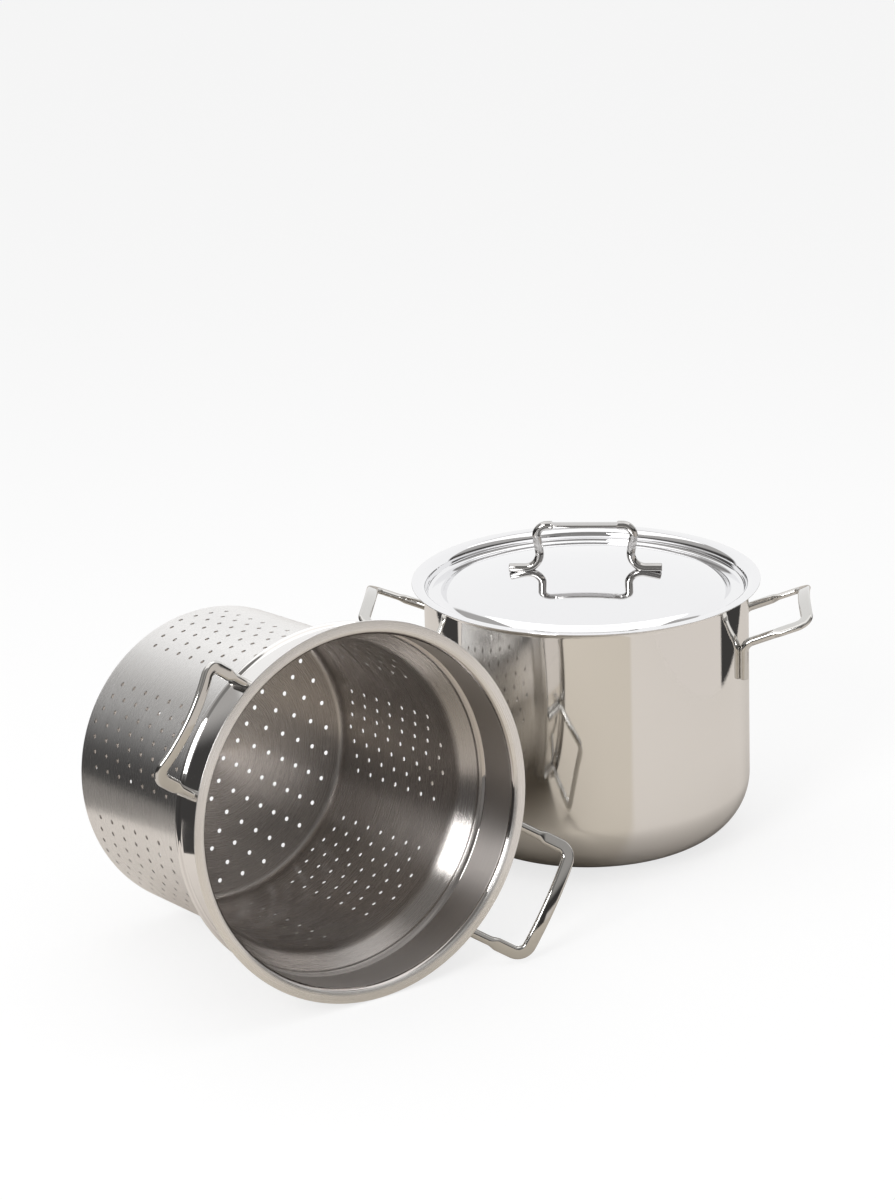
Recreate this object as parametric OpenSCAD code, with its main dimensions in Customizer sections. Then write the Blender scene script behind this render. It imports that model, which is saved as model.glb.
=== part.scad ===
// Pasta pot with a recessed lid and a perforated strainer insert.
// The pot stands upright with its lid on; the insert lies on its side in front of it.
// Origin at the middle of the pot's flat bottom, X along the pot's two handles, Y away
// from the viewer, Z up. Sizes in millimetres.

/* [Show] */
// Which piece to draw, or all of them

/* [Pot] */
// Outside radius of the pot wall
pot_r = 121; // [110:1:135]
// Height of the pot up to the top of its rim
pot_height = 195; // [170:1:230]
// Thickness of the pot wall and rim
pot_wall = 1; // [0.8:0.1:1.5]
// Thickness of the pot bottom
pot_floor = 3; // [2:0.5:5]
// Outside radius of the curve from the wall to the bottom
pot_corner_r = 45; // [30:1:50]
// Inside radius of the flare that carries the rim outwards
rim_flare = 6; // [5:0.5:8]
// Width of the level part of the pot rim
rim_flat = 2; // [1.5:0.5:4]

/* [Lid] */
// Thickness of the lid sheet
lid_sheet = 0.8; // [0.6:0.1:1.2]
// Gap between the lid's downward wall and the inside of the pot
lid_gap = 0.5; // [0.4:0.1:1]
// How far the lid edge reaches past the pot rim
lid_reach = 2; // [1:0.5:4]
// Under-side radius of the bend from the lid's flange into its wall
lid_bend = 5.5; // [4:0.5:6]
// Height of the middle of the lid above its flange
lid_rise = 8; // [4:0.5:12]
// Radius of curvature of the lid's domed middle
lid_dome_r = 420; // [380:10:600]
// Distance from the dome's edge to the lid's downward wall
lid_moat = 20.7; // [20:0.1:24]
// Radius of the rounded shoulder round the dome
lid_shoulder_r = 16; // [14:0.5:18]
// Steepest slope on the dome's shoulder, in degrees
lid_shoulder_slope = 58; // [50:1:60]
// Radius of the hollow at the foot of the shoulder
lid_hollow_r = 5; // [3:0.5:5]
// Radius of the hollow at the foot of the wall
lid_foot_r = 3; // [2:0.5:3.5]

/* [Side handles] */
// Diameter of the bent rod
rod_d = 6.6; // [6:0.1:8]
// Distance from the middle of a handle to each of its legs
handle_half = 40; // [34:0.5:46]
// Distance from the pot axis to the middle of the grip
grip_reach = 164; // [158:0.5:180]
// Height that a leg gains between the wall and the grip
grip_lift = 16.5; // [10:0.5:20]
// Width of the pressed grip
grip_w = 9.2; // [8:0.1:10]
// Thickness of the pressed grip
grip_t = 4.4; // [3.8:0.1:5]
// Share of each leg that stays round
leg_round_share = 0.45; // [0.4:0.01:0.5]
// Length over which a leg changes to the pressed outline
leg_press_len = 7; // [5:0.5:8]
// Radius of the bends at both ends of the grip
grip_bend = 9; // [8:0.5:12]
// Angle by which the ends of the grip turn down, which arches it
grip_arch = 14; // [8:1:18]
// Radius of the bend from the leg into the upright foot
foot_bend = 8.5; // [7:0.5:11]
// Length of the foot below the point where leg and foot would cross
foot_len = 27.2; // [22:0.1:28]
// Depth to which the foot is pressed flat where it is welded to the wall
weld_flat = 0.5; // [0.3:0.1:0.8]
// Distance from the pot rim down to the point where leg and foot would cross
pot_handle_drop = 37.5; // [34:0.5:60]

/* [Lid handle] */
// Distance from the middle of the lid to each foot's end
lid_foot_end = 57; // [54:0.5:64]
// Distance from the middle of the lid to the middle of each lower bend
lid_foot_bend_x = 45; // [44:0.5:48]
// Radius of the lower bends
lid_lower_bend = 11; // [9:0.5:12]
// Radius of the upper bends
lid_upper_bend = 8; // [7:0.5:9]
// Height of the rod's middle at the grip above its middle at the feet
lid_grip_rise = 33; // [30:0.5:38]
// Outward lean of the posts in degrees
lid_post_lean = 9; // [4:1:12]
// Half the length of the pressed grip
lid_grip_half = 25; // [20:0.5:25]
// Width of the pressed lid grip
lid_grip_w = 8.6; // [8:0.1:9.5]
// Thickness of the pressed lid grip
lid_grip_t = 3; // [2.6:0.1:4]
// Length over which the round rod changes to the pressed grip
press_len = 1.6; // [1:0.2:2.4]

/* [Insert] */
// Thickness of the insert's sheet
insert_sheet = 0.8; // [0.6:0.1:1.2]
// Outside radius of the insert's rolled-out mouth
insert_mouth_r = 130; // [128:0.5:134]
// Under-side radius of the bend from the mouth into the collar
insert_bend = 4.4; // [3:0.2:5]
// Height of the plain collar, from the mouth to the middle of its bead
collar_h = 38; // [37:0.5:44]
// Radius of the bead that rests on the pot rim, measured inside
bead_r = 2.5; // [2:0.1:3]
// Gap between the insert's neck and the inside of the pot when it stands in it
neck_gap = 0.7; // [0.5:0.1:2]
// Height of the plain neck between the bead and the cone
neck_h = 1; // [0.5:0.5:2]
// Height of the cone from the neck down to the basket
cone_h = 12.5; // [10:0.5:16]
// Outside radius of the perforated basket
basket_r = 108.3; // [104:0.1:112]
// Depth of the insert from its mouth to its lowest ring
insert_depth = 211.2; // [208:0.2:216]
// Outside radius of the curve from the basket wall to its base
basket_corner_r = 8; // [6:0.5:9]
// Width of the level ring between that curve and the raised middle of the base
base_ring = 0.5; // [0.5:0.1:1]
// Height by which the middle of the base is pressed upwards
base_rise = 3.2; // [2:0.1:4]

/* [Strainer holes] */
// Diameter of every hole
hole_d = 3; // [2.4:0.1:3.6]
// Radius of the innermost ring of holes in the base
ring_first_r = 8.2; // [7:0.1:9]
// Step in radius from one ring of holes to the next
ring_step = 12.2; // [11.5:0.1:12.4]
// Number of rings of holes in the base
ring_count = 8; // [6:1:8]
// Number of holes in the innermost ring
ring_first_holes = 3; // [3:1:4]
// Number of holes that each ring has more than the one inside it
ring_more_holes = 4; // [3:1:4]
// Number of fields of holes round the wall
field_count = 7; // [5:1:7]
// Turn of the first field from the right-hand insert handle, in degrees
field_turn = 34.8; // [30:0.1:40]
// Angle between two neighbouring rows of holes, in degrees
row_turn = 5.38; // [4.8:0.02:5.6]
// Number of rows of holes on each side of a field's middle row
side_rows = 3; // [2:1:3]
// Number of holes in each of the three middle rows of a field; the rows beside them have one fewer
row_holes = 8; // [7:1:8]
// Step along a row from one hole to the next
row_step = 17.2; // [15:0.1:17.4]
// Distance by which each row starts above its inner neighbour
row_stagger = 4.3; // [3.5:0.1:4.8]
// Distance from the lowest ring up to the first hole of a field's middle row
row_start = 15.4; // [14:0.2:18]

/* [Where the insert lies] */
// Position of the middle of the insert's mouth along X
insert_x = -138.5; // [-160:0.5:-130]
// Position of the middle of the insert's mouth along Y
insert_y = -298.5; // [-320:0.5:-280]
// Compass turn of the insert's axis, in degrees from X
insert_heading = -52.6; // [-60:0.2:-45]
// Turn of the insert about its own axis, in degrees
insert_roll = 54.5; // [50:0.5:60]

/* [Hidden] */
$fn = 96;
// A bend is thinner than its rod by thin, and runs into its neighbours by lap or by lap_turn degrees
thin = 0.02;
lap = 0.3;
lap_turn = 1.5;
// How far a cutter reaches past the piece that it cuts
clear = 5;
rod_r = rod_d / 2;
steel = [0.80, 0.79, 0.77];
steel_dark = [0.72, 0.71, 0.69];

pot_in_r = pot_r - pot_wall;
rim_out_r = pot_in_r + rim_flare + rim_flat;

lid_top = pot_height + lid_sheet;
lid_wall_r = pot_in_r - lid_gap;
lid_well_r = lid_wall_r - lid_sheet;
lid_edge_r = rim_out_r + lid_reach;
dome_edge = lid_well_r - lid_moat;
dome_angle = asin(dome_edge / lid_dome_r);
dome_cz = lid_rise - lid_dome_r;
dome_edge_z = dome_cz + lid_dome_r * cos(dome_angle);
shoulder_c = [dome_edge - lid_shoulder_r * sin(dome_angle),
              dome_cz + (lid_dome_r - lid_shoulder_r) * cos(dome_angle)];
hollow_c = shoulder_c
    + (lid_shoulder_r + lid_hollow_r) * [sin(lid_shoulder_slope), cos(lid_shoulder_slope)];
moat_z = hollow_c[1] - lid_hollow_r;

// Height above the flange of the sheet under the middle of each foot of the lid handle
lid_foot_mid = (lid_foot_end + lid_foot_bend_x) / 2;
lid_foot_z = dome_cz + sqrt(pow(lid_dome_r, 2) - pow(lid_foot_mid, 2));

collar_in_r = pot_in_r;
collar_out_r = collar_in_r + insert_sheet;
neck_r = pot_in_r - neck_gap;
basket_in_r = basket_r - insert_sheet;
cone_top = -(collar_h + bead_r + insert_sheet + neck_h);
cone_end = cone_top - cone_h;
panel_r = basket_r - basket_corner_r - base_ring;
corner_in_r = basket_corner_r - insert_sheet;
mouth_bend_c = [collar_out_r + insert_bend, -insert_sheet - insert_bend];
bead_c = [collar_in_r, -collar_h];
base_corner_c = [basket_r - basket_corner_r, -insert_depth + basket_corner_r];
cone_turn = atan2(neck_r - basket_r, cone_h);
cone_shift = insert_sheet * tan(cone_turn / 2);
panel_shift = insert_sheet * tan(45 / 2);

// Angles at which the bead's arc begins below the collar, inside and outside, and ends at the neck
bead_in = 90;
bead_out = 76;
bead_end = -80;

// Distance from the mouth down to the point where an insert handle's leg and foot would cross
foot_gap = 0.2;
insert_handle_drop = collar_h - bead_r - insert_sheet - foot_gap - foot_len;

// Lean at which both the mouth's edge and the base's corner touch the ground
function drop(e) = insert_mouth_r * cos(e) + insert_sheet * sin(e)
    - (insert_depth - basket_corner_r) * sin(e) - (basket_r - basket_corner_r) * cos(e) - basket_corner_r;
function lean_at(a, b, n) = n == 0 ? (a + b) / 2
    : (drop((a + b) / 2) > 0 ? lean_at((a + b) / 2, b, n - 1) : lean_at(a, (a + b) / 2, n - 1));
insert_lean = lean_at(0, 20, 30);
insert_z = insert_mouth_r * cos(insert_lean) + insert_sheet * sin(insert_lean);

// Points on an arc from angle a0 to a1
function arc(c, r, a0, a1, n = 12) =
    [for (i = [0:n]) let (a = a0 + (a1 - a0) * i / n) c + r * [cos(a), sin(a)]];
function flip(p) = [for (i = [len(p) - 1:-1:0]) p[i]];

// One side of the lid sheet, off by the distance o below the top surface
function lid_line(o) = concat(
    arc([0, dome_cz], lid_dome_r - o, 90, 90 - dome_angle, 16),
    arc(shoulder_c, lid_shoulder_r - o, 90 - dome_angle, 90 - lid_shoulder_slope, 10),
    arc(hollow_c, lid_hollow_r + o, 270 - lid_shoulder_slope, 270, 8),
    arc([lid_well_r - lid_foot_r, moat_z + lid_foot_r], lid_foot_r + o, 270, 360, 8),
    arc([lid_wall_r + lid_bend, -lid_sheet - lid_bend], lid_bend + lid_sheet - o, 180, 90, 10),
    [[lid_edge_r, -o]]);

module pot_body() {
    color(steel)
    rotate_extrude()
    polygon(concat(
        [[0, 0]],
        arc([pot_r - pot_corner_r, pot_corner_r], pot_corner_r, 270, 360, 24),
        arc([pot_in_r + rim_flare, pot_height - rim_flare], rim_flare - pot_wall, 180, 90, 8),
        [[rim_out_r, pot_height - pot_wall], [rim_out_r, pot_height]],
        arc([pot_in_r + rim_flare, pot_height - rim_flare], rim_flare, 90, 180, 10),
        arc([pot_in_r - (pot_corner_r - pot_floor), pot_corner_r], pot_corner_r - pot_floor, 360, 270, 24),
        [[0, pot_floor]]));
}

// Outline of the pressed rod, w wide along X and t thick along Y
function pressed_ring(w, t) = concat(
    arc([(w - t) / 2, 0], t / 2, -90, 90, 8), arc([(t - w) / 2, 0], t / 2, 90, 270, 8));
// Outline of the round rod, with as many points as the pressed one
function round_ring(r) = arc([0, 0], r, -80, 260, 17);

// Where the round rod changes over the length h to the pressed outline w by t
module press(h, w, t) {
    steps = 5;
    a = round_ring(rod_r - thin);
    b = pressed_ring(w - 2 * thin, t - 2 * thin);
    n = len(a);
    middle = h - 2 * lap;
    heights = concat([-lap], [for (j = [0:steps]) lap + middle * j / steps], [h + lap]);
    points = [for (z = heights) let (u = min(max((z - lap) / middle, 0), 1), s = u * u * (3 - 2 * u))
        for (i = [0:n - 1]) concat(a[i] + (b[i] - a[i]) * s, z)];
    last = (len(heights) - 1) * n;
    sides = [for (p = [0:n:last - n], i = [0:n - 1]) let (k = (i + 1) % n)
        each [[p + i, p + n + k, p + k], [p + i, p + n + i, p + n + k]]];
    polyhedron(points, concat([[for (i = [0:n - 1]) i]], sides, [[for (i = [n - 1:-1:0]) last + i]]));
}

// One bent-rod handle for a wall of radius r, its legs leaving the wall at z = 0
module side_handle(r) {
    foot_x = sqrt(pow(r + rod_r - weld_flat, 2) - pow(handle_half, 2));
    tilt = atan2(grip_lift, grip_reach - foot_x);
    leg = norm([grip_lift, grip_reach - foot_x]);
    bend_back = foot_bend * tan((90 - tilt) / 2);
    flat_from = leg * leg_round_share;
    flat_to = flat_from + leg_press_len;
    chord = handle_half - grip_bend * cos(grip_arch);
    grip_r = chord / sin(grip_arch);
    low = grip_bend * sin(grip_arch);
    difference() {
        union() {
            for (s = [0, 1])
                mirror([0, s, 0])
                translate([foot_x, handle_half, 0]) {
                    translate([0, 0, -foot_len])
                    cylinder(r = rod_r, h = foot_len - bend_back);
                    translate([foot_bend, 0, -bend_back])
                    rotate([90, 0, 0])
                    rotate([0, 0, 90 + tilt - lap_turn])
                    rotate_extrude(angle = 90 - tilt + 2 * lap_turn)
                    translate([foot_bend, 0])
                    circle(r = rod_r - thin);
                    rotate([0, 90 - tilt, 0]) {
                        translate([0, 0, bend_back])
                        cylinder(r = rod_r, h = flat_from - bend_back);
                        translate([0, 0, flat_from])
                        rotate([0, 0, 90 - grip_arch])
                        press(flat_to - flat_from, grip_w, grip_t);
                        translate([0, 0, flat_to])
                        linear_extrude(leg - grip_bend - flat_to)
                        rotate(90 - grip_arch)
                        polygon(pressed_ring(grip_w, grip_t));
                    }
                }
            translate([foot_x, 0, 0])
            rotate([0, -tilt, 0])
            translate([leg, 0, low]) {
                for (s = [0, 1])
                    mirror([0, s, 0])
                    translate([-grip_bend, chord, 0])
                    rotate([-grip_arch, 0, 0])
                    rotate([0, 0, -lap_turn])
                    rotate_extrude(angle = 90 + 2 * lap_turn)
                    translate([grip_bend, 0])
                    polygon(pressed_ring(grip_w - 2 * thin, grip_t - 2 * thin));
                translate([0, 0, -grip_r * cos(grip_arch)])
                rotate([0, 90, 0])
                rotate([0, 0, 180 - grip_arch])
                rotate_extrude(angle = 2 * grip_arch)
                translate([grip_r, 0])
                rotate(90)
                polygon(pressed_ring(grip_w, grip_t));
            }
        }
        translate([0, 0, -foot_len - clear])
        cylinder(r = r, h = foot_len + grip_lift + 2 * clear);
    }
}

module pot_handle_right() {
    color(steel_dark)
    translate([0, 0, pot_height - pot_handle_drop])
    side_handle(pot_r);
}

module pot_handle_left() {
    color(steel_dark)
    translate([0, 0, pot_height - pot_handle_drop])
    rotate([0, 0, 180])
    side_handle(pot_r);
}

module lid_pan() {
    color(steel)
    translate([0, 0, lid_top])
    rotate_extrude()
    polygon(concat(lid_line(0), flip(lid_line(lid_sheet))));
}

module lid_handle() {
    foot_z = lid_foot_z + rod_r - weld_flat;
    lean = 90 + lid_post_lean;
    low_end = [lid_foot_bend_x - lid_lower_bend * cos(lid_post_lean),
               lid_lower_bend * (1 + sin(lid_post_lean))];
    top_z = lid_grip_rise - lid_upper_bend * (1 + sin(lid_post_lean));
    post = (top_z - low_end[1]) / cos(lid_post_lean);
    top_x = low_end[0] + post * sin(lid_post_lean);
    bend_x = top_x - lid_upper_bend * cos(lid_post_lean);
    color(steel_dark)
    translate([0, 0, lid_top + foot_z])
    difference() {
        union() {
            for (s = [0, 1])
                mirror([s, 0, 0]) {
                    translate([lid_foot_bend_x, 0, 0])
                    rotate([0, 90, 0])
                    cylinder(r = rod_r, h = lid_foot_end - lid_foot_bend_x);
                    translate([lid_foot_bend_x, 0, lid_lower_bend])
                    rotate([90, 0, 0])
                    rotate([0, 0, 270 - lean - lap_turn])
                    rotate_extrude(angle = lean + 2 * lap_turn)
                    translate([lid_lower_bend, 0])
                    circle(r = rod_r - thin);
                    translate([low_end[0], 0, low_end[1]])
                    rotate([0, lid_post_lean, 0])
                    cylinder(r = rod_r, h = post);
                    translate([bend_x, 0, lid_grip_rise - lid_upper_bend])
                    rotate([90, 0, 0])
                    rotate([0, 0, -lid_post_lean - lap_turn])
                    rotate_extrude(angle = lean + 2 * lap_turn)
                    translate([lid_upper_bend, 0])
                    circle(r = rod_r - thin);
                    translate([lid_grip_half, 0, lid_grip_rise])
                    rotate([0, 90, 0])
                    cylinder(r = rod_r, h = bend_x - lid_grip_half);
                    translate([lid_grip_half, 0, lid_grip_rise])
                    rotate([0, -90, 0])
                    rotate([0, 0, 90])
                    press(press_len, lid_grip_w, lid_grip_t);
                }
            translate([-lid_grip_half + press_len, 0, lid_grip_rise])
            rotate([0, 90, 0])
            linear_extrude(2 * (lid_grip_half - press_len))
            rotate(90)
            polygon(pressed_ring(lid_grip_w, lid_grip_t));
        }
        translate([0, 0, -foot_z])
        rotate_extrude()
        polygon(concat(
            arc([0, dome_cz], lid_dome_r, 90, 90 - dome_angle, 16),
            [[dome_edge, dome_edge_z - clear], [0, dome_edge_z - clear]]));
    }
}

// Lays the insert on its side, with its mouth at the height where it rests
module lay_insert() {
    translate([insert_x, insert_y, insert_z])
    rotate([0, 90 - insert_lean, insert_heading])
    rotate([0, 0, insert_roll])
    children();
}

// Holes of one row of the wall, k rows away from the middle of its field
module wall_row(k) {
    holes = abs(k) < 2 ? row_holes : row_holes - 1;
    first = -insert_depth + row_start + abs(k) * row_stagger;
    for (i = [0:holes - 1])
        translate([basket_in_r - clear, 0, first + i * row_step])
        rotate([0, 90, 0])
        cylinder(d = hole_d, h = insert_sheet + 2 * clear, $fn = 24);
}

module insert_basket() {
    color(steel)
    lay_insert()
    difference() {
        rotate_extrude()
        polygon(concat(
            [[0, -insert_depth + base_rise + insert_sheet]],
            [[panel_r - base_rise + panel_shift, -insert_depth + base_rise + insert_sheet]],
            [[panel_r + panel_shift, -insert_depth + insert_sheet]],
            arc(base_corner_c, corner_in_r, 270, 360, 8),
            [[basket_in_r, cone_end], [neck_r - insert_sheet, cone_top]],
            arc(bead_c, bead_r, bead_end, bead_in, 12),
            arc(mouth_bend_c, insert_bend + insert_sheet, 180, 90, 8),
            [[insert_mouth_r, 0], [insert_mouth_r, -insert_sheet]],
            arc(mouth_bend_c, insert_bend, 90, 180, 8),
            arc(bead_c, bead_r + insert_sheet, bead_out, bead_end, 12),
            [[neck_r, cone_top - cone_shift], [basket_r, cone_end - cone_shift]],
            arc(base_corner_c, basket_corner_r, 360, 270, 8),
            [[panel_r, -insert_depth], [panel_r - base_rise, -insert_depth + base_rise]],
            [[0, -insert_depth + base_rise]]));
        for (k = [0:ring_count - 1], i = [1:ring_first_holes + k * ring_more_holes])
            rotate([0, 0, (i - 1) * 360 / (ring_first_holes + k * ring_more_holes)])
            translate([ring_first_r + k * ring_step, 0, -insert_depth + base_rise - clear])
            cylinder(d = hole_d, h = insert_sheet + 2 * clear, $fn = 24);
        for (f = [0:field_count - 1], k = [-side_rows:side_rows])
            rotate([0, 0, field_turn + f * 360 / field_count + k * row_turn])
            wall_row(k);
    }
}

module insert_handle_right() {
    color(steel_dark)
    lay_insert()
    translate([0, 0, -insert_handle_drop])
    side_handle(collar_out_r);
}

module insert_handle_left() {
    color(steel_dark)
    lay_insert()
    translate([0, 0, -insert_handle_drop])
    rotate([0, 0, 180])
    side_handle(collar_out_r);
}

pot_body();
pot_handle_left();
pot_handle_right();
lid_pan();
lid_handle();
insert_basket();
insert_handle_left();
insert_handle_right();
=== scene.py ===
import math

import bpy
import numpy as np
from mathutils import Matrix, Vector


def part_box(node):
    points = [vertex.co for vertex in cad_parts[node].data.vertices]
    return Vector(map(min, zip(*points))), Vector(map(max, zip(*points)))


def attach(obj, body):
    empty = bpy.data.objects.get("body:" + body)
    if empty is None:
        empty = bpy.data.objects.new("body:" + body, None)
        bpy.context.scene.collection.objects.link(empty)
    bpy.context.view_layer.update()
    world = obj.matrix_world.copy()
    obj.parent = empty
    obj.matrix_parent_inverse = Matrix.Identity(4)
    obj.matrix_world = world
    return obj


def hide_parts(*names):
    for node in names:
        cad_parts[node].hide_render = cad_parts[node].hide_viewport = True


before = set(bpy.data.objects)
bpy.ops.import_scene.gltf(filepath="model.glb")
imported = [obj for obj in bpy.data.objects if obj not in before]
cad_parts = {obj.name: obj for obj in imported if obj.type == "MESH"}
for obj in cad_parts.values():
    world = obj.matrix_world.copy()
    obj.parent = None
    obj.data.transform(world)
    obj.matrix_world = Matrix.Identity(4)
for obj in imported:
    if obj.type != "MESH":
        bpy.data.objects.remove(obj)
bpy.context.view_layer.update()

# Lengths are in metres; slopes, leans, turns and arches are in degrees
MM = 0.001

# Sizes taken from the frame
pot_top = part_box("pot_body")[1].z
rim_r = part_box("pot_body")[1].x
lid_edge_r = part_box("lid_pan")[1].x

# The pot's own sizes
pot_r = 121 * MM
pot_wall = 1 * MM
pot_floor = 3 * MM
pot_corner_r = 45 * MM
rim_flare = 6 * MM
pot_flat_step = 20 * MM
pot_in_r = pot_r - pot_wall

# The lid's own sizes
lid_sheet = 0.8 * MM
lid_top = pot_top + lid_sheet
lid_gap = 0.5 * MM
lid_wall_r = pot_in_r - lid_gap
lid_well_r = lid_wall_r - lid_sheet
lid_bend = 5.5 * MM
lid_rise = 8 * MM
lid_dome_r = 420 * MM
lid_moat = 20.7 * MM
lid_shoulder_r = 16 * MM
lid_shoulder_slope = 48
lid_hollow_r = 5 * MM
lid_foot_r = 3 * MM

# The rods
rod_d = 6.6 * MM
weld_flat = 0.5 * MM
handle_half = 40 * MM
grip_reach = 164 * MM
grip_lift = 16.5 * MM
grip_w = 9.2 * MM
grip_t = 4.4 * MM
grip_bend = 9 * MM
grip_arch = 14
foot_bend = 8.5 * MM
foot_len = 27.2 * MM
press_from, press_len = 0.45, 7 * MM
pot_handle_drop = 37.5 * MM

# The lid's handle
lid_foot_end = 57 * MM
lid_foot_bend_x = 45 * MM
lid_lower_bend = 11 * MM
lid_upper_bend = 8 * MM
lid_grip_rise = 33 * MM
lid_post_lean = 9
lid_grip_half = 25 * MM
lid_grip_w = 8.6 * MM
lid_grip_t = 3 * MM
lid_press = 1.6 * MM

# The insert
insert_sheet = 0.8 * MM
insert_mouth_r = 130 * MM
insert_bend = 4.4 * MM
collar_h = 38 * MM
bead_r = 2.5 * MM
bead_flat = 0.3 * MM
bead_to_cone = 1 * MM
neck_gap = 0.7 * MM
cone_h = 12.5 * MM
cone_bend = 12 * MM
neck_bend = 3 * MM
basket_r = 108.3 * MM
insert_depth = 211.2 * MM
basket_corner_r = 8 * MM
inside_corner_r = 5 * MM
base_rise = 3.2 * MM
base_gap = 0.5 * MM
collar_in_r = pot_in_r
collar_out_r = collar_in_r + insert_sheet
neck_r = pot_in_r - neck_gap
basket_in_r = basket_r - insert_sheet
insert_x, insert_y = -138.5 * MM, -298.5 * MM
insert_heading, insert_roll = -52.6, 54.5
insert_seam = -60 * MM
foot_to_bead = 0.2 * MM
insert_handle_drop = collar_h - bead_r - insert_sheet - foot_to_bead - foot_len

# The strainer's holes: rings in the base, and fields of rows round the wall
hole_d = 3.3 * MM
ring_first_r, ring_step, ring_count = 8.2 * MM, 12.2 * MM, 8
field_count, field_turn, row_turn = 7, 34.8, 5.38
row_step, row_stagger, row_start = 17.2 * MM, 4.3 * MM, 15.4 * MM
inner_row_holes, outer_row_holes = 8, 7
pin_below, pin_above = 2 * MM, 3 * MM
pin_inwards, pin_outwards = 4 * MM, 3 * MM

# Steps of the round forms, and the angle in degrees from which an edge stays sharp
TURN_STEPS = 288
CORNER_STEPS = 40
EDGE_STEPS = 8
CREASE = 30


def arc(centre, radius, start, end, count=16):
    """Points on an arc, with the angles in degrees."""
    turns = [math.radians(start + (end - start) * i / count) for i in range(count + 1)]
    return [(centre[0] + radius * math.cos(t), centre[1] + radius * math.sin(t)) for t in turns]


def rounded(before, corner, after, radius, count=10):
    """Points of an arc of that radius that rounds off the corner of a line."""
    back = Vector(before) - Vector(corner)
    on = Vector(after) - Vector(corner)
    half = back.angle(on) / 2
    back.normalize()
    on.normalize()
    centre = Vector(corner) + (back + on).normalized() * radius / math.sin(half)
    first = Vector(corner) + back * radius / math.tan(half)
    last = Vector(corner) + on * radius / math.tan(half)
    start = math.degrees(math.atan2(*reversed(first - centre)))
    end = math.degrees(math.atan2(*reversed(last - centre)))
    if end - start > 180:
        end -= 360
    if start - end > 180:
        end += 360
    return arc(centre, radius, start, end, count)


def smooth(share):
    """The share from 0 to 1, with a soft start and end."""
    return share * share * (3 - 2 * share)


def blend(first, last, count=10):
    """Points of a smooth step from one (radius, height) to the other."""
    points = []
    for i in range(count + 1):
        share = i / count
        radius = first[0] + (last[0] - first[0]) * smooth(share)
        height = first[1] + (last[1] - first[1]) * share
        points.append((radius, height))
    return points


# Outlines of the turned sheets, as (radius, height)
def pot_outline():
    flare = (pot_in_r + rim_flare, pot_top - rim_flare)
    inner_corner = pot_corner_r - pot_floor
    edge = pot_wall / 2
    return (
        [(0, 0), (pot_r - pot_corner_r - pot_flat_step, 0)]
        + arc((pot_r - pot_corner_r, pot_corner_r), pot_corner_r, 270, 360, CORNER_STEPS)
        + arc(flare, rim_flare - pot_wall, 180, 90)
        + arc((rim_r - edge, pot_top - edge), edge, 270, 450, EDGE_STEPS)
        + arc(flare, rim_flare, 90, 180)
        + arc((pot_in_r - inner_corner, pot_corner_r), inner_corner, 360, 270, CORNER_STEPS)
        + [(0, pot_floor)])


def lid_side(inset):
    """One face of the lid's sheet, that far below its top face."""
    edge = lid_well_r - lid_moat
    dome_z = lid_rise - lid_dome_r
    dome = math.degrees(math.asin(edge / lid_dome_r))
    lean = math.radians(dome)
    shoulder = (edge - lid_shoulder_r * math.sin(lean),
                dome_z + (lid_dome_r - lid_shoulder_r) * math.cos(lean))
    slope = math.radians(lid_shoulder_slope)
    reach = lid_shoulder_r + lid_hollow_r
    hollow = (shoulder[0] + reach * math.sin(slope), shoulder[1] + reach * math.cos(slope))
    moat_z = hollow[1] - lid_hollow_r
    foot = (lid_well_r - lid_foot_r, moat_z + lid_foot_r)
    bend = (lid_wall_r + lid_bend, -lid_sheet - lid_bend)
    line = (
        arc((0, dome_z), lid_dome_r - inset, 90, 90 - dome, CORNER_STEPS)
        + arc(shoulder, lid_shoulder_r - inset, 90 - dome, 90 - lid_shoulder_slope)
        + arc(hollow, lid_hollow_r + inset, 270 - lid_shoulder_slope, 270)
        + arc(foot, lid_foot_r + inset, 270, 360)
        + arc(bend, lid_bend + lid_sheet - inset, 180, 90))
    return [(r, z + lid_top) for r, z in line]


def lid_outline():
    edge = lid_sheet / 2
    rim = arc((lid_edge_r - edge, lid_top - edge), edge, 90, -90, EDGE_STEPS)
    return lid_side(0) + rim + lid_side(lid_sheet)[::-1]


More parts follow.
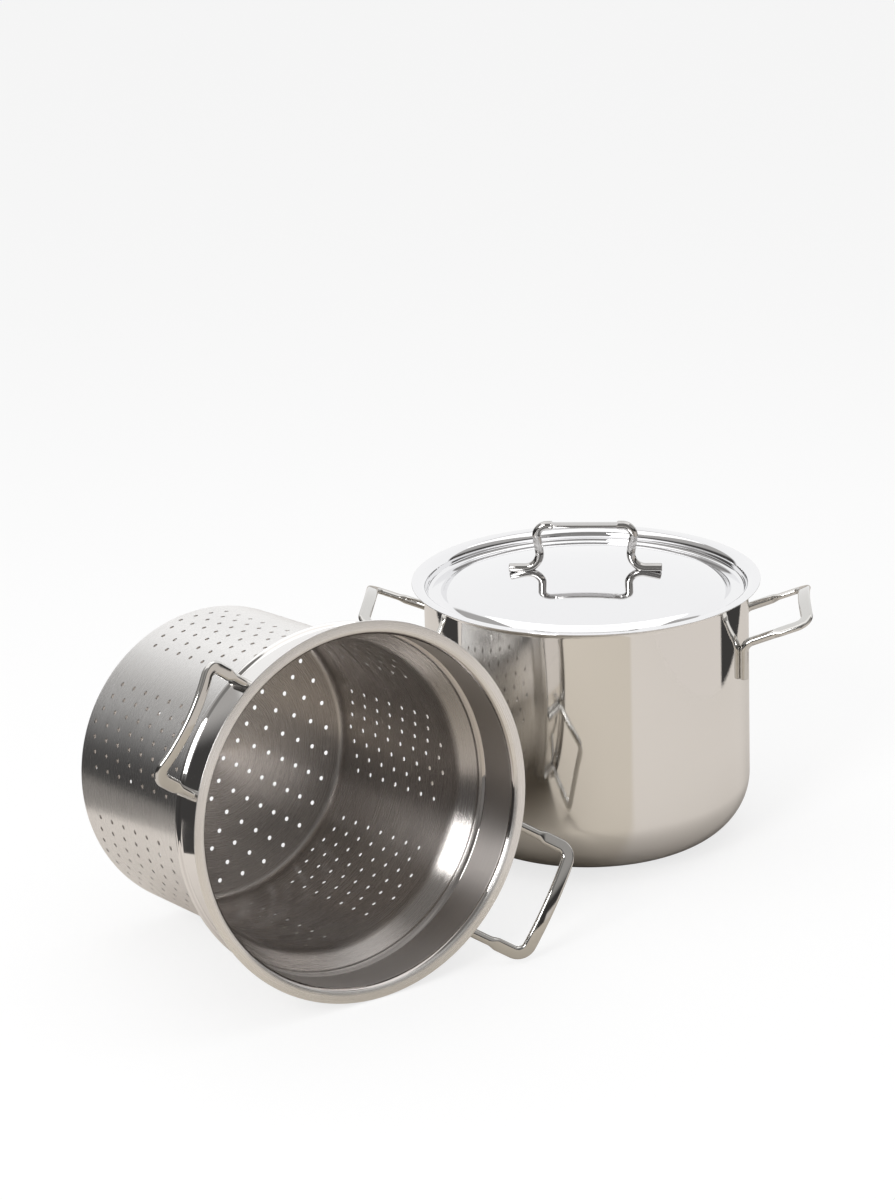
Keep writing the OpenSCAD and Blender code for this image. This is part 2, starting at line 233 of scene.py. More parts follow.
def insert_outline():
    """The insert's sheet, with its mouth at height 0 and its basket below."""
    cone_top = -(collar_h + bead_r + insert_sheet + bead_to_cone)
    cone_end = cone_top - cone_h
    cone_shift = insert_sheet * math.tan(math.atan2(neck_r - basket_r, cone_h) / 2)
    panel_r = basket_r - basket_corner_r - base_gap
    floor_z = -insert_depth + base_rise
    corner = (basket_r - basket_corner_r, -insert_depth + basket_corner_r)
    bend = (collar_out_r + insert_bend, -insert_sheet - insert_bend)
    edge = insert_sheet / 2
    neck_in_r = neck_r - insert_sheet
    bead_z = -collar_h
    bead_low = bead_z - bead_r - insert_sheet
    bead_top = bead_z + bead_r + insert_sheet
    panel_z = floor_z + insert_sheet
    inside = (
        [(0, panel_z)]
        + arc((basket_in_r - inside_corner_r, panel_z + inside_corner_r), inside_corner_r,
              270, 360, 12)
        + rounded((basket_in_r, panel_z), (basket_in_r, cone_end), (neck_in_r, cone_top),
                  cone_bend + insert_sheet)
        + rounded((basket_in_r, cone_end), (neck_in_r, cone_top), (neck_in_r, 0), neck_bend)
        + blend((neck_in_r, bead_low), (collar_in_r + bead_r, bead_z - bead_flat))
        + blend((collar_in_r + bead_r, bead_z + bead_flat), (collar_in_r, bead_top))
        + arc(bend, insert_bend + insert_sheet, 180, 90))
    low = (basket_r, cone_end - cone_shift)
    high = (neck_r, cone_top - cone_shift)
    outside = (
        arc((insert_mouth_r - edge, -edge), edge, 90, -90, EDGE_STEPS)
        + arc(bend, insert_bend, 90, 180)
        + blend((collar_out_r, bead_top + insert_sheet),
                (collar_out_r + bead_r, bead_z + bead_flat))
        + blend((collar_out_r + bead_r, bead_z - bead_flat),
                (neck_r, bead_low - insert_sheet / 2))
        + rounded((neck_r, 0), high, low, neck_bend + insert_sheet)
        + rounded(high, low, (basket_r, -insert_depth), cone_bend)
        + arc(corner, basket_corner_r, 360, 270, 12)
        + [(panel_r, -insert_depth), (panel_r - base_rise, floor_z), (0, floor_z)])
    return inside + outside


# Meshes
def make_object(name, vertices, faces):
    mesh = bpy.data.meshes.new(name)
    mesh.from_pydata(vertices, [], faces)
    mesh.validate()
    thing = bpy.data.objects.new(name, mesh)
    bpy.context.scene.collection.objects.link(thing)
    return thing


def clean(outline):
    """The outline without points that repeat the one before."""
    kept = [outline[0]]
    for point in outline[1:]:
        if math.dist(point, kept[-1]) > 0.01 * MM:
            kept.append(point)
    return kept


def turn(name, outline, steps=TURN_STEPS):
    """A closed sheet turned about Z from an outline that starts and ends on the axis."""
    outline = clean(outline)
    first, last = outline[0], outline[-1]
    rings = outline[1:-1]
    vertices = [(0, 0, first[1])]
    for radius, height in rings:
        for i in range(steps):
            angle = 2 * math.pi * i / steps
            vertices.append((radius * math.cos(angle), radius * math.sin(angle), height))
    vertices.append((0, 0, last[1]))
    end = len(vertices) - 1
    faces = []
    for i in range(steps):
        j = (i + 1) % steps
        faces.append((0, 1 + j, 1 + i))
        base = 1 + (len(rings) - 1) * steps
        faces.append((end, base + i, base + j))
        for k in range(len(rings) - 1):
            a, b = 1 + k * steps, 1 + (k + 1) * steps
            faces.append((a + i, a + j, b + j, b + i))
    return make_object(name, vertices, faces)


def face_outwards(thing):
    """Turns every face so that a closed mesh's volume is positive."""
    mesh = thing.data
    volume = 0.0
    for poly in mesh.polygons:
        volume += poly.center.dot(poly.normal) * poly.area
    if volume < 0:
        mesh.flip_normals()


def soften(thing, angle=CREASE):
    """Smooth shading, with creases kept where faces meet at more than the angle."""
    thing.data.shade_smooth()
    thing.data.set_sharp_from_angle(angle=math.radians(angle))


def turned_normals(thing, outline):
    """Gives each corner the turned sheet's true normal; the walls of the holes keep their own."""
    outline = np.array(clean(outline))
    ends = outline[1:] - outline[:-1]
    length = np.linalg.norm(ends, axis=1)
    flat = np.stack([ends[:, 1], -ends[:, 0]], 1) / length[:, None]
    joint = flat.copy()
    joint[1:] += flat[:-1]
    after = flat.copy()
    after[:-1] += flat[1:]
    crease = math.cos(math.radians(CREASE))
    meet = np.sum(flat[1:] * flat[:-1], 1) < crease
    joint[1:][meet] = flat[1:][meet]
    after[:-1][meet] = flat[:-1][meet]
    mesh = thing.data
    count = len(mesh.loops)
    corner = np.zeros(count, np.int32)
    mesh.loops.foreach_get("vertex_index", corner)
    place = np.zeros(len(mesh.vertices) * 3)
    mesh.vertices.foreach_get("co", place)
    place = place.reshape(-1, 3)[corner]
    sides = np.zeros(len(mesh.polygons), np.int32)
    mesh.polygons.foreach_get("loop_total", sides)
    normal = np.zeros(len(mesh.polygons) * 3)
    mesh.polygons.foreach_get("normal", normal)
    normal = np.repeat(normal.reshape(-1, 3), sides, 0)
    middle = np.zeros(len(mesh.polygons) * 3)
    mesh.polygons.foreach_get("center", middle)
    middle = np.repeat(middle.reshape(-1, 3), sides, 0)
    radius = np.hypot(place[:, 0], place[:, 1])
    out = place[:, :2] / np.maximum(radius, 1e-6)[:, None]
    mid_radius = np.hypot(middle[:, 0], middle[:, 1])
    result = normal.copy()
    batch = 20000
    for start in range(0, count, batch):
        part = slice(start, start + batch)
        at = np.stack([mid_radius[part], middle[part, 2]], 1)
        along = np.einsum("nsk,sk->ns", at[:, None] - outline[None, :-1], ends) / length ** 2
        along = np.clip(along, 0, 1)
        near = outline[None, :-1] + along[:, :, None] * ends[None]
        gap = np.linalg.norm(near - at[:, None], axis=2)
        best = gap.argmin(1)
        here = np.stack([radius[part], place[part, 2]], 1)
        share = np.sum((here - outline[best]) * ends[best], 1) / length[best] ** 2
        share = np.clip(share, 0, 1)[:, None]
        side = joint[best] * (1 - share) + after[best] * share
        side /= np.linalg.norm(side, axis=1)[:, None]
        solid = np.concatenate([side[:, :1] * out[part], side[:, 1:]], 1)
        same = np.sum(solid * normal[part], 1)
        solid = np.where(same[:, None] < 0, -solid, solid)
        on_sheet = np.abs(same)[:, None] > 0.8
        result[part] = np.where(on_sheet, solid, result[part])
    mesh.shade_smooth()
    mesh.normals_split_custom_set(result)


def hole_pins(sides=20):
    """A pin through the sheet at every hole, all in one mesh."""
    vertices, faces = [], []

    def pin(place, low, high):
        first = len(vertices)
        for reach in (low, high):
            for i in range(sides):
                angle = 2 * math.pi * i / sides
                spot = Vector((hole_d / 2 * math.cos(angle), hole_d / 2 * math.sin(angle), reach))
                vertices.append(place @ spot)
        faces.append([first + i for i in range(sides)][::-1])
        faces.append([first + sides + i for i in range(sides)])
        for i in range(sides):
            j = (i + 1) % sides
            faces.append([first + i, first + j, first + sides + j, first + sides + i])

    for k in range(ring_count):
        for i in range(4 * k + 3):
            around = Matrix.Rotation(2 * math.pi * i / (4 * k + 3), 4, "Z")
            spot = Matrix.Translation((ring_first_r + k * ring_step, 0, -insert_depth + base_rise))
            pin(around @ spot, -pin_below, pin_above)
    for field in range(field_count):
        for k in range(-3, 4):
            turned = math.radians(field_turn + field * 360 / field_count + k * row_turn)
            around = Matrix.Rotation(turned, 4, "Z")
            for i in range(inner_row_holes if abs(k) < 2 else outer_row_holes):
                height = -insert_depth + row_start + abs(k) * row_stagger + i * row_step
                spot = Matrix.Translation((0, 0, height)) @ Matrix.Rotation(math.pi / 2, 4, "Y")
                pin(around @ spot, basket_in_r - pin_inwards, basket_r + pin_outwards)
    return make_object("hole_pins", vertices, faces)


def cut_with(thing, pins, operation="DIFFERENCE"):
    """Cuts the closed mesh out of the sheet, or keeps only what lies inside it."""
    cut = thing.modifiers.new("cut", "BOOLEAN")
    cut.operation = operation
    cut.solver = "MANIFOLD"
    cut.object = pins
    graph = bpy.context.evaluated_depsgraph_get()
    done = bpy.data.meshes.new_from_object(thing.evaluated_get(graph))
    thing.modifiers.clear()
    thing.data = done
    bpy.data.objects.remove(pins)


def block(bottom):
    """A square block from that height to above the mouth, wider than the insert."""
    half, top = 200 * MM, 50 * MM
    square = ((-half, -half), (half, -half), (half, half), (-half, half))
    corners = [(x, y, z) for z in (bottom, top) for x, y in square]
    sides = [(i, (i + 1) % 4, 4 + (i + 1) % 4, 4 + i) for i in range(4)]
    return make_object("block", corners, [(3, 2, 1, 0), (4, 5, 6, 7)] + sides)


# Bent rods
def station(place, along, up, width, height, scale=1.0):
    """One cross-section of a rod: its middle, its two directions and its size."""
    return place, along.normalized(), up.normalized(), width * scale, height * scale


def rod_mesh(name, stations, ring=16):
    """A rod swept through its stations, round or pressed flat."""
    vertices, faces = [], []
    size = 2 * ring
    for place, along, up, width, height in stations:
        side = up.cross(along)
        for half in (1, -1):
            for i in range(ring):
                angle = math.radians(-90 + 180 * (i + 0.5) / ring)
                across = half * ((width - height) / 2 + height / 2 * math.cos(angle))
                rise = half * height / 2 * math.sin(angle)
                vertices.append(place + side * across + up * rise)
    for k in range(len(stations) - 1):
        for i in range(size):
            j = (i + 1) % size
            a, b = k * size, (k + 1) * size
            faces.append((a + i, a + j, b + j, b + i))
    faces.append(tuple(range(size))[::-1])
    last = (len(stations) - 1) * size
    faces.append(tuple(last + i for i in range(size)))
    rod = make_object(name, vertices, faces)
    face_outwards(rod)
    soften(rod, 40)
    return rod


def mirrored(half, axis):
    """The stations of the other half of a rod that is symmetric about the plane across the axis."""
    flip = Vector([-1 if i == axis else 1 for i in range(3)])
    other = []
    for place, along, up, width, height in reversed(half):
        other.append((place * flip, -(along * flip), up * flip, width, height))
    return other


def rod_end(place, along, up):
    """The slightly rounded end of a round rod, from its face inwards."""
    steps = []
    for depth, scale in ((0, 0.80), (0.12, 0.90), (0.35, 0.97), (0.8, 1.0)):
        steps.append(station(place + along * depth * MM, along, up, rod_d, rod_d, scale))
    return steps


def side_handle_stations(wall_r):
    """Half of a side handle, from the foot's end to the middle of the grip."""
    foot_x = math.sqrt((wall_r + rod_d / 2 - weld_flat) ** 2 - handle_half ** 2)
    tilt = math.atan2(grip_lift, grip_reach - foot_x)
    leg = math.hypot(grip_lift, grip_reach - foot_x)
    back = foot_bend * math.tan((math.pi / 2 - tilt) / 2)
    lean = math.radians(grip_arch)
    across = Vector((0, 1, 0))

    def thin(normal):
        return normal * math.cos(lean) + across * math.sin(lean)

    start = Vector((foot_x, handle_half, 0))
    out = Vector((math.cos(tilt), 0, math.sin(tilt)))
    top = Vector((-math.sin(tilt), 0, math.cos(tilt)))
    up = Vector((0, 0, 1))
    steps = rod_end(start - up * foot_len, up, thin(Vector((-1, 0, 0))))
    middle = start + Vector((foot_bend, 0, -back))
    for i in range(13):
        angle = math.pi - (math.pi / 2 - tilt) * i / 12
        spoke = Vector((math.cos(angle), 0, math.sin(angle)))
        along = Vector((spoke.z, 0, -spoke.x))
        steps.append(station(middle + spoke * foot_bend, along, thin(spoke), rod_d, rod_d))
    for i in range(13):
        share = smooth(i / 12)
        place = start + out * (leg * press_from + press_len * i / 12)
        steps.append(station(place, out, thin(top), rod_d + (grip_w - rod_d) * share,
                             rod_d + (grip_t - rod_d) * share))
    chord = handle_half - grip_bend * math.cos(lean)
    low = grip_bend * math.sin(lean)
    corner = Vector((foot_x, 0, 0)) + out * (leg - grip_bend) + across * chord + top * low
    axis = top * math.cos(lean) + across * math.sin(lean)
    spoke_out = across * math.cos(lean) - top * math.sin(lean)
    for i in range(17):
        angle = math.pi / 2 * (1 - i / 16)
        spoke = out * math.cos(angle) + spoke_out * math.sin(angle)
        along = out * math.sin(angle) - spoke_out * math.cos(angle)
        steps.append(station(corner + spoke * grip_bend, along, axis, grip_w, grip_t))
    grip_r = chord / math.sin(lean)
    hub = Vector((foot_x, 0, 0)) + out * leg + top * (low - grip_r * math.cos(lean))
    for i in range(1, 13):
        angle = lean * (1 - i / 12)
        spoke = top * math.cos(angle) + across * math.sin(angle)
        along = top * math.sin(angle) - across * math.cos(angle)
        steps.append(station(hub + spoke * grip_r, along, spoke, grip_w, grip_t))
    return steps


def side_handle(name, wall_r):
    """A side handle that reaches out along X from a wall of that radius."""
    half = side_handle_stations(wall_r)
    return rod_mesh(name, half + mirrored(half[:-1], 1))


def lid_handle(name):
    """The lid's handle, which lies in the plane of X and Z."""
    lean = math.radians(lid_post_lean)
    foot_mid = (lid_foot_end + lid_foot_bend_x) / 2
    dome_z = lid_rise - lid_dome_r + math.sqrt(lid_dome_r ** 2 - foot_mid ** 2)
    base = Vector((0, 0, lid_top + dome_z + rod_d / 2 - weld_flat))

    def at(x, z, along_x, along_z, width=rod_d, height=rod_d):
        along, up = Vector((along_x, 0, along_z)), Vector((along_z, 0, -along_x))
        return station(base + Vector((x, 0, z)), along, up, width, height)

    steps = rod_end(base + Vector((lid_foot_end, 0, 0)), Vector((-1, 0, 0)), Vector((0, 0, 1)))
    for i in range(17):
        angle = math.radians(270) - (math.pi / 2 + lean) * i / 16
        spoke = (math.cos(angle), math.sin(angle))
        steps.append(at(lid_foot_bend_x + lid_lower_bend * spoke[0],
                        lid_lower_bend * (1 + spoke[1]), spoke[1], -spoke[0]))
    low = (lid_foot_bend_x - lid_lower_bend * math.cos(lean),
           lid_lower_bend * (1 + math.sin(lean)))
    top_z = lid_grip_rise - lid_upper_bend * (1 + math.sin(lean))
    top_x = low[0] + (top_z - low[1]) * math.tan(lean)
    bend_x = top_x - lid_upper_bend * math.cos(lean)
    for i in range(17):
        angle = -lean + (math.pi / 2 + lean) * i / 16
        spoke = (math.cos(angle), math.sin(angle))
        steps.append(at(bend_x + lid_upper_bend * spoke[0],
                        lid_grip_rise - lid_upper_bend + lid_upper_bend * spoke[1],
                        -spoke[1], spoke[0]))
    for i in range(7):
        share = smooth(i / 6)
        steps.append(at(lid_grip_half - lid_press * i / 6, lid_grip_rise, -1, 0,
                        rod_d + (lid_grip_w - rod_d) * share,
                        rod_d + (lid_grip_t - rod_d) * share))
    steps.append(at(0, lid_grip_rise, -1, 0, lid_grip_w, lid_grip_t))
    return rod_mesh(name, steps + mirrored(steps[:-1], 0))


def insert_lean():
    """The lean at which the mouth's edge and the basket's corner both rest on the ground."""
    low, high = 0.0, math.radians(20)
    for _ in range(40):
        lean = (low + high) / 2
        mouth = insert_mouth_r * math.cos(lean) + insert_sheet * math.sin(lean)
        heel = ((insert_depth - basket_corner_r) * math.sin(lean)
                + (basket_r - basket_corner_r) * math.cos(lean) + basket_corner_r)
        low, high = (lean, high) if mouth > heel else (low, lean)
    return low


def insert_place():
    """Where the insert lies, without its roll about its own axis."""
    lean = insert_lean()
    height = insert_mouth_r * math.cos(lean) + insert_sheet * math.sin(lean)
    return (Matrix.Translation((insert_x, insert_y, height))
            @ Matrix.Rotation(math.radians(insert_heading), 4, "Z")
            @ Matrix.Rotation(math.pi / 2 - lean, 4, "Y"))


pot = turn("pot_shell", pot_outline())
face_outwards(pot)
soften(pot)
lid = turn("lid_sheet", lid_outline())
face_outwards(lid)
soften(lid)
basket = turn("strainer_sheet", insert_outline())
face_outwards(basket)
cut_with(basket, hole_pins())
roll = Matrix.Rotation(math.radians(insert_roll), 4, "Z")
basket.data.transform(roll)
# The sheet is shown as two closed parts that meet in the straight wall,
# so that the lying parts' own boxes stay near the CAD model's box
collar = bpy.data.objects.new("strainer_collar", basket.data.copy())
bpy.context.scene.collection.objects.link(collar)
cut_with(basket, block(insert_seam))
cut_with(collar, block(insert_seam), "INTERSECT")
lay = insert_place()
for sheet in (basket, collar):
    turned_normals(sheet, insert_outline())
    sheet.matrix_world = lay

half_turn = Matrix.Rotation(math.pi, 4, "Z")
pot_grip_right = side_handle("pot_rod_right", pot_r)
pot_grip_left = side_handle("pot_rod_left", pot_r)
pot_grip_right.matrix_world = Matrix.Translation((0, 0, pot_top - pot_handle_drop))
pot_grip_left.matrix_world = pot_grip_right.matrix_world @ half_turn
insert_grip_right = side_handle("insert_rod_right", collar_out_r)
insert_grip_left = side_handle("insert_rod_left", collar_out_r)
insert_grip_place = lay @ roll @ Matrix.Translation((0, 0, -insert_handle_drop))
insert_grip_right.data.transform(insert_grip_place)
insert_grip_left.data.transform(insert_grip_place @ half_turn)
lid_grip = lid_handle("lid_rod")

PIECES = (
    (pot, "pot", "pot_body", "pot_mirror"),
    (pot_grip_left, "pot", "pot_handle_left", "pot_rod"),
    (pot_grip_right, "pot", "pot_handle_right", "pot_rod"),
    (lid, "lid", "lid_pan", "lid_mirror"),
    (lid_grip, "lid", "lid_handle", "lid_rod"),
    (basket, "insert", "insert_basket", "insert_satin"),
    (collar, "insert", "insert_basket", "insert_satin"),
    (insert_grip_left, "insert", "insert_handle_left", "insert_rod"),
    (insert_grip_right, "insert", "insert_handle_right", "insert_rod"),
)
for piece, body, node, finish in PIECES:
    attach(piece, body)
    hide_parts(node)


# Finishes: what keeps a division from zero, the density of the turned lines,
# the scale of the clouds and the depth of the lines
TINY = 0.0001
LINES = 6000
CLOUD_SCALE = 18.0
LINE_DEPTH = 0.0002


class Value:
    """A node's output; sums of such outputs add Math nodes."""

    def __init__(self, nodes, socket):
        self.nodes, self.socket = nodes, socket

    def maths(self, operation, *others):
        return self.nodes.add("ShaderNodeMath", {"operation": operation}, (self,) + others)

    def __add__(self, other):
        return self.maths("ADD", other)

    def __sub__(self, other):
        return self.maths("SUBTRACT", other)

    def __rsub__(self, other):
        return self.nodes.add("ShaderNodeMath", {"operation": "SUBTRACT"}, (other, self))

    def __mul__(self, other):
        return self.maths("MULTIPLY", other)

    def __truediv__(self, other):
        return self.maths("DIVIDE", other)

    __radd__ = __add__
    __rmul__ = __mul__


class Nodes:
    """The nodes of a material or of the world."""

    def __init__(self, owner):
        owner.use_nodes = True
        self.owner = owner
        self.tree = owner.node_tree

    def add(self, kind, settings, sockets=(), out=0):
        """A node of the kind, its settings first, then its sockets by order or by name."""
        node = self.tree.nodes.new(kind)
        for key, value in settings.items():
            setattr(node, key, value)
        pairs = sockets.items() if isinstance(sockets, dict) else enumerate(sockets)
        for key, value in pairs:
            self.put(node.inputs[key], value)
        return Value(self, node.outputs[out])

    def put(self, socket, value):
        if isinstance(value, Value):
            self.tree.links.new(value.socket, socket)
        elif socket.type == "RGBA":
            socket.default_value = (*value, 1)
        else:
            socket.default_value = value

    def split(self, vector):
        """The vector's three parts."""
        return [self.add("ShaderNodeSeparateXYZ", {}, (vector,), out=i) for i in range(3)]

    def place(self, kind="Object"):
        """The point in the piece's own frame, as x, y and z in metres."""
        return self.split(self.add("ShaderNodeTexCoord", {}, out=kind))

    def vector(self, x, y, z):
        return self.add("ShaderNodeCombineXYZ", {}, (x, y, z))

    def noise(self, vector, scale, detail=3.0, rough=0.5):
        return self.add("ShaderNodeTexNoise", {}, {"Vector": vector, "Scale": scale,
                                                   "Detail": detail, "Roughness": rough})

    def band(self, value, low, high):
        """0 below low, 1 above high and smooth between."""
        return self.add("ShaderNodeMapRange", {"interpolation_type": "SMOOTHSTEP"},
                        {"Value": value, "From Min": low, "From Max": high})

    def fall(self, value, low, high):
        """1 below low, 0 above high and smooth between."""
        return 1 - self.band(value, low, high)

    def distance(self, x, y):
        """How far the point is from the Z axis, and never 0."""
        return (x * x + y * y).maths("SQRT") + TINY

    def either(self, first, second):
        """The sum, and never above 1."""
        return (first + second).maths("MINIMUM", 1.0)

    def mix(self, share, first, second):
        return self.add("ShaderNodeMix", {"data_type": "RGBA"},
                        {0: share, 6: first, 7: second}, out=2)

    def bump(self, height, strength, distance):
        return self.add("ShaderNodeBump", {}, {"Height": height, "Strength": strength,
                                               "Distance": distance})

    def ray(self, name):
        """1 for rays of that kind."""
        return self.add("ShaderNodeLightPath", {}, out="Is " + name + " Ray")

    def choose(self, share, first, second):
        return self.add("ShaderNodeMixShader", {}, (share, first, second))


class Finish(Nodes):
    """A material with one shader."""

    def __init__(self, name):
        super().__init__(bpy.data.materials.new(name))
        self.shader = self.tree.nodes["Principled BSDF"]

    def set(self, **sockets):
        for name, value in sockets.items():
            self.put(self.shader.inputs[name.replace("_", " ")], value)


def turned_lines(look, around, rough):
    """The noise of fine lines turned about Z, and that of soft clouds."""
    x, y, z = look.place()
    radius = look.distance(x, y)
    ring = look.vector(x / radius * around, y / radius * around, (z + radius) * LINES)
    cloud = look.noise(look.vector(x, y, z), CLOUD_SCALE, 2.0)
    return look.noise(ring, 1.0, 4.0, rough), cloud


def polished(name, tint, dull, rough):
    """Mirror-polished steel with very faint turned lines."""
    look = Finish(name)
    streak, cloud = turned_lines(look, 0.6, 0.6)
    colour = look.mix(streak * 0.5 + cloud * 0.5, dull, tint)
    look.set(Base_Color=colour, Metallic=1.0, Roughness=rough + streak * 0.02 + cloud * 0.02,
             Normal=look.bump(streak, 0.02, LINE_DEPTH))
    return look.owner


def brushed(name):
    """The strainer: a satin sheet with turned lines, polished outside its collar; its inside faces
    are painted darker as painted shade.
    """
    look = Finish(name)
    streak, cloud = turned_lines(look, 0.9, 0.65)
    x, y, z = look.place()
    radius = look.distance(x, y)
    outside = look.band(radius, collar_in_r + 0.3 * MM, collar_in_r + 0.5 * MM)
    flange = look.band(z, -1.4 * MM, -1.0 * MM)
    shiny = outside * (1 - flange)
    face_x, face_y, face_z = look.place("Normal")
    facing_out = (face_x * x + face_y * y) / radius - face_z
    outward_share = look.either(look.band(facing_out, -0.2, 0.2), flange)
    wear = streak * 0.6 + cloud * 0.4
    # Painted shade: the faces inside the strainer get a darker copy of its steel than the faces
    # that look out and the flange
    inside_painted_shade = look.mix(wear, (0.44, 0.41, 0.39), (0.68, 0.65, 0.63))
    outer = look.mix(wear, (0.79, 0.775, 0.76), (0.91, 0.90, 0.89))
    colour = look.mix(outward_share, inside_painted_shade, outer)
    neck = look.band(z, -collar_h, -collar_h + 3 * MM) * (1 - outward_share)
    satin = 0.20 + streak * 0.10 + cloud * 0.04 + neck * 0.12
    look.set(Base_Color=colour, Metallic=1.0, Roughness=satin - shiny * (satin - 0.06),
             Anisotropic=0.95, Anisotropic_Rotation=0.25,
             Normal=look.bump(streak * (1 - shiny * 0.9), 0.2, LINE_DEPTH))
    return look.owner


# Painted shade: the rods' steel is drawn darker than the pot's, and the lid's rods darker still,
# for the dark room they mirror
rod_shaded_colours = (0.70, 0.69, 0.67), (0.58, 0.57, 0.55)
lid_rod_shaded_colours = (0.60, 0.59, 0.58), (0.48, 0.47, 0.46)
looks = {
    "pot_mirror": polished("pot_steel", (0.86, 0.85, 0.84), (0.83, 0.82, 0.80), 0.01),
    "pot_rod": polished("pot_rod_steel", *rod_shaded_colours, 0.04),
    "lid_mirror": polished("lid_steel", (0.88, 0.88, 0.89), (0.85, 0.85, 0.86), 0.02),
    "lid_rod": polished("lid_rod_steel", *lid_rod_shaded_colours, 0.04),
    "insert_satin": brushed("insert_steel"),
    "insert_rod": polished("insert_rod_steel", *rod_shaded_colours, 0.04),
}
for piece, body, node, finish in PIECES:
    piece.data.materials.clear()
    piece.data.materials.append(looks[finish])


# Floor, light and camera
far = 6
corners = [(-far, -far, 0), (far, -far, 0), (far, far, 0), (-far, far, 0)]
floor = make_object("floor", corners, [(0, 1, 2, 3)])
floor.location.z = -0.5 * MM
pale = Finish("floor_white")
pale.set(Base_Color=(0.92, 0.92, 0.92), Roughness=0.9)
# Polished steel mirrors a warm table that ends in front and at its two sides
x, y, z = pale.place()
table_right, table_left, edge = 0.42, -0.50, 3 * MM
on_table = (pale.band(x * -1, -table_right - edge, -table_right + edge)
            * pale.band(x, table_left - edge, table_left + edge)
            * pale.band(y, -1.3, -1.2))
front = pale.band(x * -0.834 - y * 0.552, 0.026, 0.044) * pale.band(x, -0.25, -0.20)
warm, warm_front, painted_pot_shadow = (0.68, 0.635, 0.59), (0.60, 0.547, 0.475), (0.20, 0.18, 0.16)
table = pale.mix(front, warm, warm_front)
# Painted shadow: the table that the steel mirrors is darkened round the pot's foot
pot_shadow_share = pale.fall(pale.distance(x, y), 0.10, 0.20)
table = pale.mix(pot_shadow_share * 0.5, table, painted_pot_shadow)
plain = pale.add("ShaderNodeEmission", {}, {"Color": (1, 1, 1), "Strength": 1.0})
cloth = pale.add("ShaderNodeBsdfDiffuse", {}, {"Color": table, "Roughness": 0.0})
beyond = pale.add("ShaderNodeBsdfTransparent", {}, {"Color": (1, 1, 1)})
lit = Value(pale, pale.shader.outputs[0])
seen = pale.choose(0.75, lit, plain)
mirrored_floor = pale.choose(on_table, beyond, cloth)
direct = pale.either(pale.ray("Camera"), pale.ray("Transmission"))
surface = pale.choose(direct, lit, seen)
surface = pale.choose(pale.ray("Glossy"), surface, mirrored_floor)
pale.put(pale.tree.nodes["Material Output"].inputs["Surface"], surface)
floor.data.materials.append(pale.owner)


def lamp(name, place, target, width, height, power):
    """A rectangular lamp that faces its target, with its size in metres and its power in watts."""
    light = bpy.data.lights.new(name, "AREA")
    light.shape = "RECTANGLE"
    light.size, light.size_y = width, height
    light.energy = power
    thing = bpy.data.objects.new(name, light)
    bpy.context.scene.collection.objects.link(thing)
    thing.location = place
    aim = Vector(target) - Vector(place)
    thing.rotation_euler = aim.to_track_quat("-Z", "Y").to_euler()


lamp("key", (-1.15, -2.38, 1.5), (-0.1, -0.2, 0.1), 0.82, 1.2, 36)
lamp("overhead", (0, 0.08, 1.15), (0, 0.0801, 0), 1.4, 1.15, 4.6)

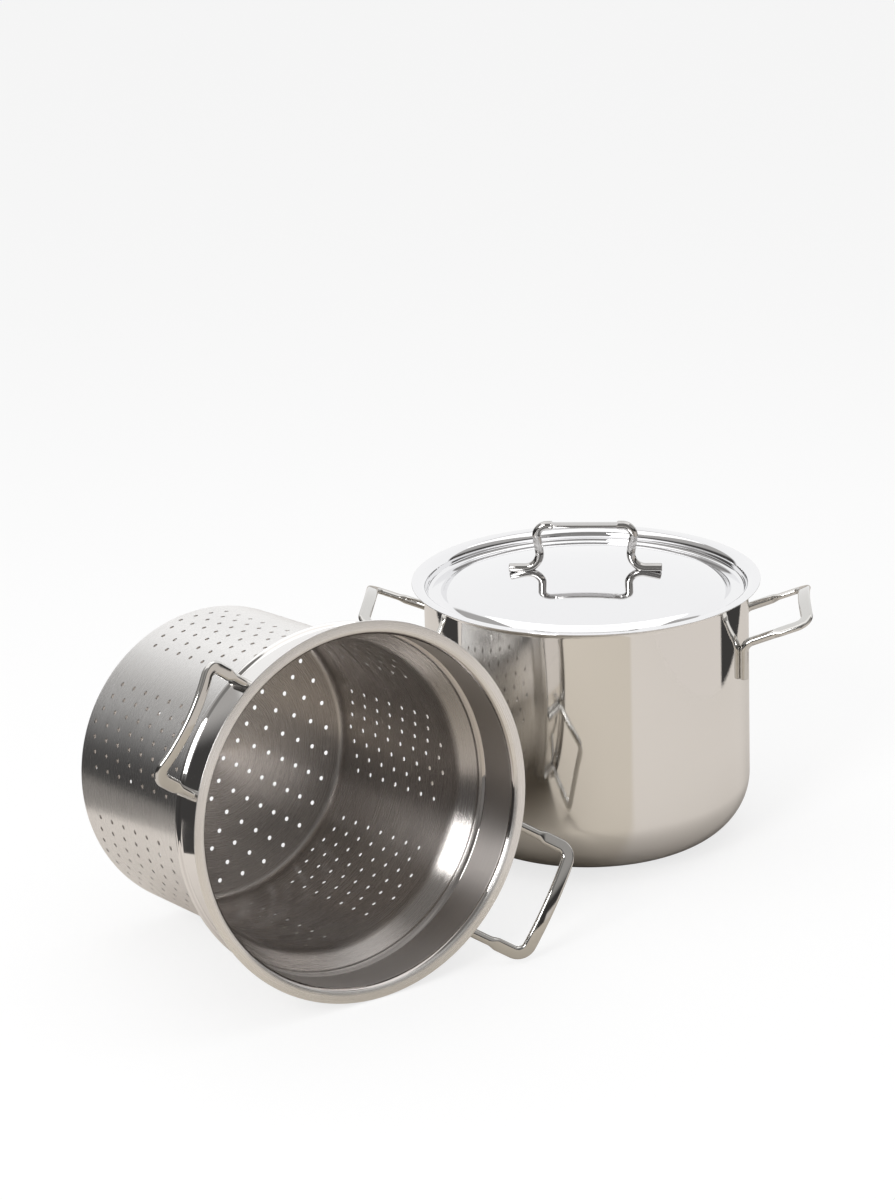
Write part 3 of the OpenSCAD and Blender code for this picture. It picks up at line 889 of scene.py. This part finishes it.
world = bpy.data.worlds.new("studio")
bpy.context.scene.world = world
sky = Nodes(world)
x, y, z = sky.place("Generated")
level = sky.distance(x, y)
east, north = x / level, y / level
below_top = sky.fall(z, 0.74, 0.84)
backdrop = sky.either(sky.band(north, 0.44, 0.50) * below_top * sky.band(z, -0.04, 0.0)
                      * sky.band(east, -0.78, -0.70),
                      sky.band(north, 0.90, 0.95) * below_top)
right_board = (sky.band(east, 0.54, 0.58) * sky.fall(north, 0.37, 0.40)
               * sky.fall(z, 0.05, 0.10))
left_board = (sky.band(east * -1, 0.60, 0.66) * sky.fall(north, 0.185, 0.215)
              * sky.fall(z, -0.25, -0.20))
behind_camera = (sky.band(east, -0.30, -0.20) * sky.fall(east, 0.3, 0.4)
                 * sky.band(north * -1, 0.5, 0.6))
overhead = sky.either(sky.band(z, 0.5, 0.8),
                      sky.band(north * -1, 0.2, 0.4) * sky.band(z, 0.22, 0.34))
sides = sky.band(east * east, 0.20, 0.36) * sky.band(z, 0.22, 0.45)
# What polished steel mirrors: a dark room with grey walls, two pale boards and the backdrop
room = sky.mix(behind_camera, (0.050, 0.048, 0.047), (0.26, 0.255, 0.25))
room = sky.mix(overhead, room, (0.24, 0.236, 0.23))
room = sky.mix(sides, room, (0.42, 0.41, 0.40))
room = sky.mix(right_board + left_board, room, (0.74, 0.69, 0.645))
room = sky.mix(backdrop, room, (1.0, 1.0, 1.0))
soft = sky.add("ShaderNodeBackground", {}, {"Color": (0.70, 0.70, 0.70), "Strength": 1.0})
white = sky.add("ShaderNodeBackground", {}, {"Color": (1, 1, 1), "Strength": 1.0})
mirrored_room = sky.add("ShaderNodeBackground", {}, {"Color": room, "Strength": 1.0})
direct = sky.either(sky.ray("Camera"), sky.ray("Transmission"))
surface = sky.choose(direct, soft, white)
surface = sky.choose(sky.ray("Glossy"), surface, mirrored_room)
sky.put(sky.tree.nodes["World Output"].inputs["Surface"], surface)

camera = bpy.data.objects.new("camera", bpy.data.cameras.new("camera"))
bpy.context.scene.collection.objects.link(camera)
bpy.context.scene.camera = camera
right = Vector((0.9969, 0.0747, -0.0264)).normalized()
ahead = Vector((-0.0788, 0.9686, -0.2359)).normalized()
above = right.cross(ahead).normalized()
right = ahead.cross(above)
turned = Matrix((right, above, -ahead)).transposed().to_4x4()
camera.matrix_world = Matrix.Translation((0.1049, -2.4895, 1.0194)) @ turned
# In pixels: the photograph's height, the lens's length, and how far the axis is from the middle
photo_height, lens_length, axis_shift = 1200, 3504.6, -304.6
sensor = 36
camera.data.sensor_width = sensor
camera.data.lens = lens_length / photo_height * sensor
camera.data.shift_y = axis_shift / photo_height
camera.data.clip_start, camera.data.clip_end = 0.1, 50

bpy.context.scene.view_settings.view_transform = "Standard"
bpy.context.view_layer.update()
